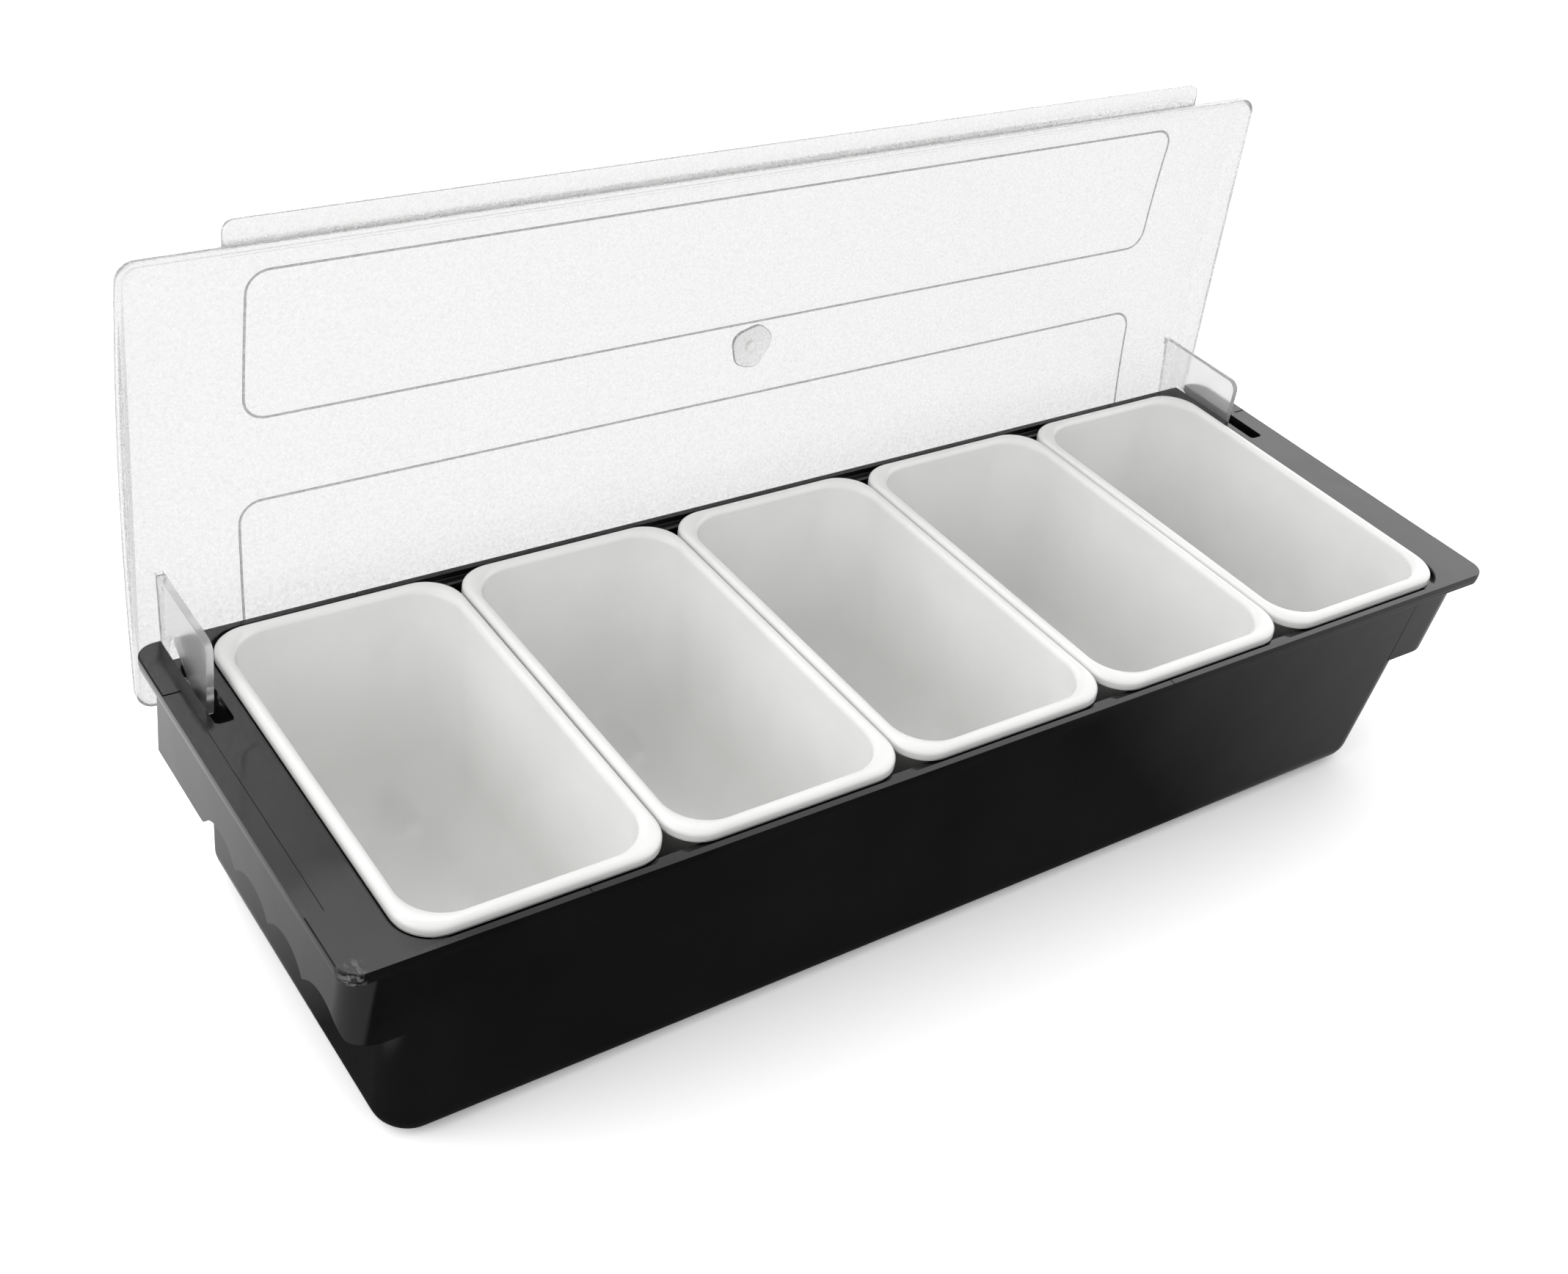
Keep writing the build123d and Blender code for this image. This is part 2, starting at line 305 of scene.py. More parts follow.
def arch_rise(y):
    """How far the skirt's lower edge is cut away at this place."""
    sagitta = arch_height - cusp_rise
    radius = ((arch_pitch / 2) ** 2 + sagitta**2) / (2 * sagitta)
    highest = -arch_pitch
    for number in range(arch_count):
        off = y - (arch_back - (number + 0.5) * arch_pitch)
        if abs(off) < radius:
            arc_height = sqrt(radius**2 - off**2) - (radius - arch_height)
            highest = higher(highest, arc_height, cusp_soft)
    return higher(0, highest, foot_soft)


def skirt_plan(z, inset):
    """The skirt's plan at a height, from its front end round to its back end."""
    front_y = tub_y - (rim_top - z) * tan(front_draft) - inset + skirt_proud
    back_y = tub_y - (rim_top - z) * tan(back_draft) - inset + skirt_proud
    end_x = skirt_x - inset
    front = skirt_front_corner - inset
    back = skirt_back_corner - inset
    plan = [(skirt_start + (end_x - front - skirt_start) * step / 3, -front_y) for step in range(3)]
    for step in range(15):
        angle = radians(-90 + 90 * step / 14)
        plan.append((end_x - front + front * cos(angle), -front_y + front + front * sin(angle)))
    straight = 160
    low, high = -front_y + front, back_y - back
    plan += [(end_x, low + (high - low) * (step + 1) / straight) for step in range(straight - 1)]
    for step in range(9):
        angle = radians(90 * step / 8)
        plan.append((end_x - back + back * cos(angle), back_y - back + back * sin(angle)))
    plan += [(skirt_start + (end_x - back - skirt_start) * step / 3, back_y) for step in (2, 1, 0)]
    return plan


def skirt_shape(side):
    """One skirt: the section of its wall, set up at each place along its plan."""
    edge_y = [y for x, y in skirt_plan(skirt_foot, 0)]
    shape = bmesh.new()
    columns = []
    for at, y in enumerate(edge_y):
        low = skirt_foot + arch_rise(y)
        section = [(0, under_plate + skirt_root), (0, low + skirt_edge)]
        section += [(0.1, low + skirt_edge * 0.3), (skirt_edge * 0.9, low)]
        section += [(skirt_wall - inset, z) for inset, z in reversed(section)]
        column = []
        for inset, z in section:
            x, y_in = skirt_plan(z, inset)[at]
            column.append(shape.verts.new((side * x / MM, y_in / MM, z / MM)))
        columns.append(column)
    skinned(shape, columns)
    shape.faces.new(columns[0])
    shape.faces.new(list(reversed(columns[-1])))
    return shape


# ------------------------------------------------------------------------------------------------
# The lid's slots. Each end shelf has a slot, open at the back, with a pin and a flat cross bar
# moulded between two cheeks below it for the lid's ear to hook onto.

hinge = next(joint for joint in frame["joints"] if joint["name"] == "lid_hinge")
pin_y, pin_z = hinge["pos_m"][1] * MM, hinge["pos_m"][2] * MM
pin_radius = 2.5
slot_edge = 9.8              # from the slot to the rim's end
slot_width = 6.6
slot_out = rim_x - slot_edge
slot_in = slot_out - slot_width
slot_front = 35
slot_depth = 31
slot_round = 1.65
bar_front, bar_back = 75, 82.5
bar_low, bar_high = rim_top - 11, rim_top - 8
bar_soft = 0.3
cheek_front, cheek_back = 66, 82.5
cheek_low = rim_top - 20.5
cheek_wall = 2
cheek_gap = 0.3              # from the slot's side to the cheek
cheek_round = 3
cheek_root = 0.8             # how far the cheeks' tops run into the shelf
tool_past = 5                # how far the slots' cutting tools run out of the plastic


def slot_tool(side):
    """The space of one slot: down through the shelf, and out at its back."""
    xs = sorted([side * slot_in, side * slot_out])
    shape = block((xs[0], slot_front, rim_top - 6), (xs[1], rim_y + tool_past, rim_top + tool_past))
    front = [e for e in shape.edges if all(abs(v.co.y * MM - slot_front) < 0.01 for v in e.verts)]
    upright = [e for e in front if abs(e.verts[0].co.z - e.verts[1].co.z) > 1e-6]
    bmesh.ops.bevel(shape, geom=upright, offset=slot_round / MM, segments=5, affect="EDGES", profile=0.5)
    return finished("slot tool", shape)


def notch_tool(side):
    """The slot's way out through the back of the skirt, from a little before the cross bar."""
    xs = sorted([side * slot_in, side * slot_out])
    low = (xs[0], bar_front - 3, rim_top - slot_depth)
    return finished("notch tool", block(low, (xs[1], rim_y + tool_past, rim_top - 1)))


def added(shape, part):
    """Adds one worked shape to another."""
    lump = bpy.data.meshes.new("lump")
    part.to_mesh(lump)
    part.free()
    shape.from_mesh(lump)
    bpy.data.meshes.remove(lump)


def hinge_mount(side):
    """What one of the lid's ears hooks onto: two cheeks, and between them the bar and the pin."""
    inner, outer = slot_in - (cheek_gap + cheek_wall), skirt_x - skirt_wall / 2
    shape = bmesh.new()
    for near, far in ((inner, slot_in - cheek_gap), (slot_out + cheek_gap, outer)):
        cheek = block((near, cheek_front, cheek_low), (far, cheek_back, under_plate + cheek_root))
        lower = [e for e in cheek.edges if all(v.co.z * MM < cheek_low + 0.01 for v in e.verts)]
        ends = [e for e in lower if abs(e.verts[0].co.x - e.verts[1].co.x) > 1e-6]
        bmesh.ops.bevel(cheek, geom=ends, offset=cheek_round / MM, segments=6, affect="EDGES", profile=0.5)
        added(shape, cheek)
    bar = block((inner, bar_front, bar_low), (outer, bar_back, bar_high))
    bmesh.ops.bevel(bar, geom=bar.edges, offset=bar_soft / MM, segments=2, affect="EDGES", profile=0.5)
    added(shape, bar)
    pin = bmesh.new()
    middle = Matrix.Translation(((inner + outer) / 2 / MM, pin_y / MM, pin_z / MM))
    bmesh.ops.create_cone(
        pin, cap_ends=True, segments=32, radius1=pin_radius / MM, radius2=pin_radius / MM,
        depth=(outer - inner) / MM, matrix=middle @ Matrix.Rotation(pi / 2, 4, "Y"),
    )
    added(shape, pin)
    for vert in shape.verts:
        vert.co.x *= side
    return shape


sides = {"left": -1, "right": 1}
skirts = {}
mounts = {}
for name, side in sides.items():
    cut(tray, slot_tool(side))
    skirts[name] = cut(finished(f"end_skirt_{name}", skirt_shape(side)), notch_tool(side))
    mounts[name] = finished(f"hinge_mount_{name}", hinge_mount(side))

# The mould's marks on the rim's top: a slightly sunk plate on each end shelf, and a witness line
# across the rails where two of its blocks met.

mark_depth = 0.3
plate_from = 243.5           # the plate runs from here to the rim's end
plate_half = 56
witness_places = (-170.6, 71.4)
witness_width = 0.4
for side in sides.values():
    xs = sorted([side * plate_from, side * (rim_x + 2)])
    low, high = (xs[0], -plate_half, rim_top - mark_depth), (xs[1], plate_half, rim_top + 2)
    cut(tray, finished("plate mark tool", block(low, high)))
for x in witness_places:
    low = (x - witness_width / 2, -rim_y - 1, rim_top - mark_depth)
    high = (x + witness_width / 2, rim_y + 1, rim_top + 2)
    cut(tray, finished("witness tool", block(low, high)))

# The tray's plastic: near-black, a fine orange-peel gloss with a little handling haze.


def new_material(name, colour, roughness):
    """A node material with its shader, and the coordinates that its patterns follow."""
    material = bpy.data.materials.new(name)
    material.use_nodes = True
    nodes, links = material.node_tree.nodes, material.node_tree.links
    shader = nodes["Principled BSDF"]
    shader.inputs["Base Color"].default_value = (*colour, 1)
    shader.inputs["Roughness"].default_value = roughness
    place = nodes.new("ShaderNodeTexCoord").outputs["Object"]
    return material, nodes, links, shader, place


def noise(nodes, links, place, scale, detail=4, stretch=(1, 1, 1)):
    """A noise pattern whose features are about 1 / scale metres across."""
    mapping = nodes.new("ShaderNodeMapping")
    mapping.inputs["Scale"].default_value = stretch
    texture = nodes.new("ShaderNodeTexNoise")
    texture.inputs["Scale"].default_value = scale
    texture.inputs["Detail"].default_value = detail
    links.new(place, mapping.inputs["Vector"])
    links.new(mapping.outputs["Vector"], texture.inputs["Vector"])
    return texture.outputs["Fac"]


def graded(nodes, links, value, low, high, at=(0.35, 0.65)):
    """Maps a pattern to a range of grey values or colours."""
    ramp = nodes.new("ShaderNodeMapRange")
    ramp.inputs["From Min"].default_value = at[0]
    ramp.inputs["From Max"].default_value = at[1]
    ramp.inputs["To Min"].default_value = low
    ramp.inputs["To Max"].default_value = high
    links.new(value, ramp.inputs["Value"])
    return ramp.outputs["Result"]


def bumped(nodes, links, shader, height, depth, below=None):
    """Adds a relief this many metres deep, over any relief below it."""
    bump = nodes.new("ShaderNodeBump")
    bump.inputs["Distance"].default_value = depth
    bump.inputs["Strength"].default_value = 1
    links.new(height, bump.inputs["Height"])
    if below:
        links.new(below, bump.inputs["Normal"])
    links.new(bump.outputs["Normal"], shader.inputs["Normal"])
    return bump.outputs["Normal"]


def tinted(nodes, links, shader, value, dark, light):
    """Mixes two colours over a surface by a pattern."""
    mix = nodes.new("ShaderNodeMix")
    mix.data_type = "RGBA"
    mix.inputs["A"].default_value = (*dark, 1)
    mix.inputs["B"].default_value = (*light, 1)
    links.new(value, mix.inputs["Factor"])
    links.new(mix.outputs["Result"], shader.inputs["Base Color"])


black, nodes, links, shader, place = new_material("black gloss plastic", (0.004, 0.004, 0.0042), 0.2)
shader.inputs["Specular IOR Level"].default_value = 0.35
haze = noise(nodes, links, place, 18, 5)
links.new(graded(nodes, links, haze, 0.07, 0.17), shader.inputs["Roughness"])
black_low, black_high = (0.003, 0.003, 0.0032), (0.006, 0.006, 0.0062)
tinted(nodes, links, shader, graded(nodes, links, haze, 0, 1), black_low, black_high)
sink = bumped(nodes, links, shader, noise(nodes, links, place, 22, 2), 0.0004)
bumped(nodes, links, shader, noise(nodes, links, place, 900, 2), 0.000008, sink)


def joined(nodes, links, operation, first, second):
    """Two values, or a value and a number, put through one sum."""
    step = nodes.new("ShaderNodeMath")
    step.operation = operation
    for socket, value in zip(step.inputs, (first, second)):
        if isinstance(value, (int, float)):
            socket.default_value = value
        else:
            links.new(value, socket)
    return step.outputs[0]


# The rim's left front corner has a painted highlight: a pale patch, most at its middle and broken into
# streaks. Places are in metres.

highlight_place = (-0.2465, -0.0815, rim_top / MM - 0.002)
highlight_fade = (0.001, 0.006)
highlight_grey = (0.16, 0.16, 0.16)
reach = nodes.new("ShaderNodeVectorMath")
reach.operation = "DISTANCE"
reach.inputs[1].default_value = highlight_place
links.new(place, reach.inputs[0])
near = graded(nodes, links, reach.outputs["Value"], 1, 0, highlight_fade)
highlight_streaks = graded(nodes, links, noise(nodes, links, place, 700, 4, (1, 0.35, 1)), 0, 1, (0.48, 0.62))
painted_highlight = joined(nodes, links, "MULTIPLY", near, highlight_streaks)
# The pale grey mixed in here is a painted highlight on the rim's corner.
mix = nodes.new("ShaderNodeMix")
mix.data_type = "RGBA"
links.new(painted_highlight, mix.inputs["Factor"])
links.new(shader.inputs["Base Color"].links[0].from_socket, mix.inputs["A"])
mix.inputs["B"].default_value = (*highlight_grey, 1)
links.new(mix.outputs["Result"], shader.inputs["Base Color"])

tray_pieces = [tray, *skirts.values(), *mounts.values()]
for piece in tray_pieces:
    even_shading(piece)
    piece.data.materials.append(black)
    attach(piece, "tray")
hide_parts("base_tray")

# ------------------------------------------------------------------------------------------------
# The five bins. Each is one white gloss moulding: a scooped, drafted body under a rolled flange,
# which hangs on the tray's ledge so that the bin lifts straight out.

bin_low, bin_high = [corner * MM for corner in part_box("insert_3")]
flange_x, flange_y, flange_top = bin_high
flange_height = 4.5
flange_base = flange_top - flange_height
flange_roll = 4.8
flange_corner = 13.5
opening_corner = 16
bin_wall = 2
bin_floor = bin_low.z + bin_wall
bin_draft = (radians(3.5), radians(7.5), radians(7.5))
floor_round = 26
floor_corner = 30
bin_gap = 1
bin_pitch = 2 * flange_x + bin_gap
roll_radius = 2.1            # of the flange's two upper turns
seam_rise = 1.3              # from the flange's foot to its parting line
seam_half = 0.12
seam_depth = 0.09

inner_top = (flange_x - flange_roll, flange_y - flange_roll, flange_y - flange_roll)
outer_top = [reach + bin_wall for reach in inner_top]
inner_corner = (opening_corner, floor_corner)
outer_corner = (inner_corner[0] + bin_wall, floor_corner + bin_wall)
bin_inside = drafted_rings(
    inner_top, flange_base, bin_floor, floor_round, bin_draft, [inner_corner] * 2,
    wall_steps=10, foot_steps=16,
)
bin_outside = drafted_rings(
    outer_top, flange_base, bin_low.z, floor_round + bin_wall, bin_draft, [outer_corner] * 2,
    wall_steps=10, foot_steps=16,
)


def flange_ring(inset, z):
    """A ring of the flange this far inside its outline; its corners open out towards the opening's."""
    corner = flange_corner + (opening_corner - flange_corner) * inset / flange_roll
    return even_ring(flange_x - inset, flange_y - inset, corner, z)


seam_z = flange_base + seam_rise
flange_rings = [flange_ring(flange_roll - bin_wall, flange_base), flange_ring(0.6, flange_base)]
flange_rings += [flange_ring(0.15, flange_base + 0.12), flange_ring(0, flange_base + 0.4)]
for inset, rise in ((0, -seam_half), (seam_depth, 0), (0, seam_half)):
    flange_rings.append(flange_ring(inset, seam_z + rise))
quarter = [radians(90 * step / 8) for step in range(9)]
for angle in quarter:
    inset, down = roll_radius * (1 - cos(angle)), roll_radius * (1 - sin(angle))
    flange_rings.append(flange_ring(inset, flange_top - down))
for angle in quarter:
    inset, down = flange_roll - roll_radius * (1 - sin(angle)), roll_radius * (1 - cos(angle))
    flange_rings.append(flange_ring(inset, flange_top - down))
bin_rings = list(reversed(bin_outside)) + flange_rings[1:] + bin_inside
bin_pattern = finished("bin pattern", shape_from_rings(bin_rings, steps=14))


def add_socket(tree, name, kind):
    """Adds a named input to a Geometry Nodes tree and returns its identifier."""
    return tree.interface.new_socket(name, in_out="INPUT", socket_type=kind).identifier


def wired(tree, *wires):
    """Links a tree's nodes: each wire is a node and its output, then a node and its input."""
    for source, output, target, socket in wires:
        tree.links.new(source.outputs[output], target.inputs[socket])


def made_by(tree, name, settings):
    """Runs a Geometry Nodes tree on an empty mesh and returns the result as a plain piece."""
    piece = bpy.data.objects.new(name, bpy.data.meshes.new(name))
    bpy.context.scene.collection.objects.link(piece)
    change = piece.modifiers.new(name, "NODES")
    change.node_group = tree
    for key, value in settings.items():
        change[key] = value
    return settled(piece)


# Each bin's plastic: clean white with a soft gloss, and the faint mottle of moulded plastic.

white, nodes, links, shader, place = new_material("white gloss plastic", (0.84, 0.84, 0.83), 0.16)
mottle = noise(nodes, links, place, 30, 4)
links.new(graded(nodes, links, mottle, 0.12, 0.22), shader.inputs["Roughness"])
white_low, white_high = (0.82, 0.82, 0.81), (0.86, 0.86, 0.85)
tinted(nodes, links, shader, graded(nodes, links, mottle, 0, 1), white_low, white_high)
ripple = bumped(nodes, links, shader, noise(nodes, links, place, 25, 2), 0.0003)
bumped(nodes, links, shader, noise(nodes, links, place, 1200, 2), 0.000006, ripple)

row = bpy.data.node_groups.new("row of bins", "GeometryNodeTree")
row.interface.new_socket("Bin", in_out="OUTPUT", socket_type="NodeSocketGeometry")
pattern_key = add_socket(row, "Pattern", "NodeSocketObject")
pitch_key = add_socket(row, "Pitch", "NodeSocketFloat")
place_key = add_socket(row, "Place in the row", "NodeSocketInt")
plastic_key = add_socket(row, "Plastic", "NodeSocketMaterial")
given = row.nodes.new("NodeGroupInput")
result = row.nodes.new("NodeGroupOutput")
pattern = row.nodes.new("GeometryNodeObjectInfo")
step_along = row.nodes.new("ShaderNodeMath")
step_along.operation = "MULTIPLY"
offset = row.nodes.new("ShaderNodeCombineXYZ")
spot = row.nodes.new("GeometryNodePoints")
copy = row.nodes.new("GeometryNodeInstanceOnPoints")
solid = row.nodes.new("GeometryNodeRealizeInstances")
dress = row.nodes.new("GeometryNodeSetMaterial")
wired(
    row,
    (given, "Pattern", pattern, "Object"),
    (given, "Pitch", step_along, 0),
    (given, "Place in the row", step_along, 1),
    (step_along, 0, offset, "X"),
    (offset, "Vector", spot, "Position"),
    (spot, 0, copy, "Points"),
    (pattern, "Geometry", copy, "Instance"),
    (copy, "Instances", solid, "Geometry"),
    (solid, "Geometry", dress, "Geometry"),
    (given, "Plastic", dress, "Material"),
    (dress, "Geometry", result, "Bin"),
)

middle_bin = 3
for number in range(1, 6):
    settings = {
        pattern_key: bin_pattern, pitch_key: bin_pitch / MM, place_key: number - middle_bin,
        plastic_key: white,
    }
    piece = made_by(row, f"bin_{number}_white", settings)
    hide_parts(f"insert_{number}")
    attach(piece, f"bin_{number}")
bpy.data.objects.remove(bin_pattern)

# ------------------------------------------------------------------------------------------------
# The lid. One clear, finely grained moulding, flipped open: a crowned panel with a shallow turned
# edge, a finger lip beyond its free edge, and two ears that hook onto the tray's pins.

lid_x = (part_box("lid")[1] * MM).x
lid_wall = 1.8
lean = radians(1.8)
back_gap = 8.45              # from the rim to the panel's inner face, at the rim's height
panel_y = rim_y + back_gap
panel_top = 135.3
panel_tail = 31
edge_round = 2.6
inner_round = 1.2
turned_edge = 3
# The turned edge's foot: how far across the wall from outside, and how far up.
turned_section = [(0, 0.4), (0.04, 0.12), (0.15, 0), (0.85, 0), (0.96, 0.12), (1, 0.4)]
lid_corner = 7
crown_rise = 5.65
crown_from, crown_to = -25, 135
crown_span = (crown_to - crown_from) / 2
crown_radius = (crown_span**2 + crown_rise**2) / (2 * crown_rise)


def crown(along):
    """How far the panel's inner face stands behind its chord, at a place along the panel."""
    off = along - (crown_from + crown_to) / 2
    return sqrt(crown_radius**2 - off**2) - (crown_radius - crown_rise)


def on_lid(x, out, along):
    """A place on the open lid, in metres: across, outward from the chord, and up along the panel."""
    y = panel_y + out * cos(lean) + along * sin(lean)
    z = rim_top - out * sin(lean) + along * cos(lean)
    return (x / MM, y / MM, z / MM)


edge_steps = [0, 0.12, 0.4, 0.85, 1.4, 2, 2.6, 3.4, 4.4, 5.6, 7, 9, 13]
steps_across, steps_up = 60, 26


def spread(half, steps):
    """Places across a width, close together near both edges and even between."""
    last = edge_steps[-1]
    middle = [-(half - last) + 2 * (half - last) * step / steps for step in range(1, steps)]
    return [-half + step for step in edge_steps] + middle + [half - step for step in reversed(edge_steps)]


def panel_sheet(inset, rise, round_over):
    """One face of the panel: rows of (x, out, along), rounded over towards its outline."""
    half = lid_x - inset
    low, high = -panel_tail + inset, panel_top - inset
    corner = lid_corner - inset
    rows = []
    for x in spread(half, steps_across):
        past = max(abs(x) - (half - corner), 0)
        cut_back = corner - sqrt(max(corner**2 - past**2, 0))
        centre, reach = (low + high) / 2, (high - low) / 2 - cut_back
        row_points = []
        for along in spread(reach, steps_up):
            height = centre + along
            side_gap = half - abs(x)
            end_gap = min(high - height, height - low)
            if side_gap < corner and end_gap < corner:
                gap = corner - hypot(corner - side_gap, corner - end_gap)
            else:
                gap = min(side_gap, end_gap)
            gap = max(gap, 0)
            drop = round_over - sqrt(round_over**2 - (round_over - gap) ** 2) if gap < round_over else 0
            row_points.append((x, crown(height) + rise - drop, height))
        rows.append(row_points)
    return rows


def sheet_border(rows):
    """The places round a sheet's border, in order."""
    last, end = len(rows) - 1, len(rows[0]) - 1
    border = [(column, 0) for column in range(last)]
    border += [(last, at) for at in range(end)]
    border += [(last - column, end) for column in range(last)]
    border += [(0, end - at) for at in range(end)]
    return border


def panel_shape():
    """The panel: an outer and an inner face, and between their borders the turned edge."""
    outer = panel_sheet(0, lid_wall, edge_round)
    inner = panel_sheet(lid_wall, 0, inner_round)
    shape = bmesh.new()
    grids = []
    for rows in (outer, inner):
        grids.append([[shape.verts.new(on_lid(*point)) for point in line] for line in rows])
    for grid in grids:
        skinned(shape, grid, closed=False)
    border = sheet_border(outer)
    loops = [[grids[0][column][at] for column, at in border]]
    for blend, out in turned_section:
        loop = []
        for column, at in border:
            start, end = outer[column][at], inner[column][at]
            x = start[0] + (end[0] - start[0]) * blend
            along = start[2] + (end[2] - start[2]) * blend
            loop.append(shape.verts.new(on_lid(x, out - turned_edge, along)))
        loops.append(loop)
    loops.append([grids[1][column][at] for column, at in border])
    skinned(shape, loops)
    return shape


lid = finished("lid_panel", panel_shape(), sharp=50)

# The finger lip: a flat tongue beyond the free edge, just inside the panel's outer face.

lip_half = 213
lip_reach = 8.5
lip_corner = 4
lip_thick = 1.8
lip_root = 4                 # how far it starts below the panel's edge
lip_inset = 0.4              # from the panel's outer face


def plate_shape(outline, face_from, face_to, to_place, soft):
    """A flat plate with softened edges: outline points (a, b) swept between two faces."""
    shape = bmesh.new()
    loops = []
    for face, inset in ((face_from, soft), (face_from + soft, 0), (face_to - soft, 0), (face_to, soft)):
        loop = []
        count = len(outline)
        for at in range(count):
            before, here, after = (Vector(outline[(at + k) % count]) for k in (-1, 0, 1))
            along = ((here - before).normalized() + (after - here).normalized()).normalized()
            inward = Vector((-along.y, along.x))
            a, b = here + inward * inset
            loop.append(shape.verts.new(to_place(a, b, face)))
        loops.append(loop)
    return solid_over(shape, loops)


def arc(centre, radius, start, end, steps):
    """Points along an arc, from one angle to another in degrees."""
    angles = [radians(start + (end - start) * step / steps) for step in range(steps + 1)]
    return [(centre[0] + radius * cos(angle), centre[1] + radius * sin(angle)) for angle in angles]


lip_low, lip_high = panel_top - lip_root, panel_top + lip_reach
lip_outline = [(-lip_half, lip_low), (lip_half, lip_low)]
lip_outline += arc((lip_half - lip_corner, lip_high - lip_corner), lip_corner, 0, 90, 8)
lip_outline += arc((-lip_half + lip_corner, lip_high - lip_corner), lip_corner, 90, 180, 8)
lip_out = lid_wall - lip_inset


def lip_place(a, b, face):
    """Where a point of the lip's outline goes, at one of its faces."""
    return on_lid(a, face, b)


lip_shape = plate_shape(lip_outline, lip_out - lip_thick, lip_out, lip_place, soft=0.3)
cut(lid, finished("finger lip", lip_shape), "UNION")

# The ears: thin plates square to the panel. Each has a notch that swings past the tray's cross bar
# and, below it, an open hook that snaps over the pin.

ear_thick = 2.6
ear_gap = 0.5                # from the slot's inner side
ear_in = slot_in + ear_gap
ear_front = 19.4
ear_rise = 35
ear_corner = 4.5
ear_chin = 8.5               # the height of the chin's rounding
chin_round = 3
ear_root = 0.9               # how far the ear's straight back runs into the panel at its foot
hook_fit = 0.1
hook_bore = pin_radius + hook_fit
hook_wall = 3.3
hook_radius = hook_bore + hook_wall
hook_mouth = 4.5
notch_reach = 21.4
notch_peak = 56              # the angle of the notch's highest corner


def ear_outline():
    """One ear seen along the tray, from the pin's axis: towards the panel, and up."""
    mouth_angle = degrees(asin(hook_mouth / 2 / hook_bore))
    mouth_outer = degrees(asin(hook_mouth / 2 / hook_radius))
    outline = arc((-ear_front + ear_corner, ear_rise - ear_corner), ear_corner, 90, 180, 8)
    outline += arc((-ear_front + chin_round, ear_chin), chin_round, 180, 224, 5)
    outline += arc((0, 0), hook_radius, 233, 270 - mouth_outer, 4)
    outline += arc((0, 0), hook_bore, 270 - mouth_angle, -90 + mouth_angle, 20)
    outline += arc((0, 0), hook_radius, -90 + mouth_outer, 108, 28)
    outline += [(-3.3, 8.6), (-3.1, 9.5), (-2.4, 10.4)]
    outline.append((notch_reach * cos(radians(notch_peak)), notch_reach * sin(radians(notch_peak))))
    outline += arc((0, 0), notch_reach, notch_peak - 3, 8, 14)
    return outline


panel_reach = panel_y - pin_y


def ear_shape(side):
    """One ear, its outline closed inside the panel along a line that follows the crown."""
    outline = ear_outline()
    foot_out = panel_reach + ear_root
    outline += [(foot_out, 2.5), (foot_out + 1.3, 12), (foot_out + 2.8, 24), (foot_out + 4.2, ear_rise)]

    def ear_place(a, b, face):
        """Where a point of the ear's outline goes, at one of its faces."""
        return (side * face / MM, (pin_y + a) / MM, (pin_z + b) / MM)

    return plate_shape(outline, ear_in, ear_in + ear_thick, ear_place, soft=0.2)


for name, side in sides.items():
    cut(lid, finished(f"ear {name}", ear_shape(side)), "UNION")

# Raised lines on the lid's inner face: two rounded rectangles, moulded as fine beads that follow
# the crown, and round the middle the ring and nub left by the moulding gate.

bead_width = 0.9
bead_height = 0.3
bead_sunk = 0.1              # how deep its middle lies in the panel
frame_corner = 8
frames = {"upper": (204.8, 68.5, 124.4), "lower": (206.9, -21, 36.8)}     # half width, foot, top

beads = bpy.data.node_groups.new("moulded bead", "GeometryNodeTree")
beads.interface.new_socket("Bead", in_out="OUTPUT", socket_type="NodeSocketGeometry")
bead_inputs = ("Width", "Height", "Middle", "Corner", "Bead width")
bead_keys = {name: add_socket(beads, name, "NodeSocketFloat") for name in bead_inputs}
given = beads.nodes.new("NodeGroupInput")
result = beads.nodes.new("NodeGroupOutput")
path = beads.nodes.new("GeometryNodeCurvePrimitiveQuadrilateral")
bend = beads.nodes.new("GeometryNodeFilletCurve")
bend.mode = "POLY"
bend.inputs["Count"].default_value = 12
fine = beads.nodes.new("GeometryNodeResampleCurve")
fine.mode = "LENGTH"
fine.inputs["Length"].default_value = 0.002
section = beads.nodes.new("GeometryNodeCurvePrimitiveCircle")
section.inputs["Resolution"].default_value = 8
half = beads.nodes.new("ShaderNodeMath")
half.operation = "MULTIPLY"
half.inputs[1].default_value = 0.5
sweep = beads.nodes.new("GeometryNodeCurveToMesh")
lift = beads.nodes.new("GeometryNodeTransform")
shift = beads.nodes.new("ShaderNodeCombineXYZ")
solid = beads.nodes.new("GeometryNodeRealizeInstances")
wired(
    beads,
    (given, "Width", path, "Width"),
    (given, "Height", path, "Height"),
    (path, "Curve", bend, "Curve"),
    (given, "Corner", bend, "Radius"),
    (bend, "Curve", fine, "Curve"),
    (given, "Bead width", half, 0),
    (half, 0, section, "Radius"),
    (fine, "Curve", sweep, "Curve"),
    (section, "Curve", sweep, "Profile Curve"),
    (given, "Middle", shift, "Y"),
    (sweep, "Mesh", lift, "Geometry"),
    (shift, "Vector", lift, "Translation"),
    (lift, "Geometry", solid, "Geometry"),
    (solid, "Geometry", result, "Bead"),
)


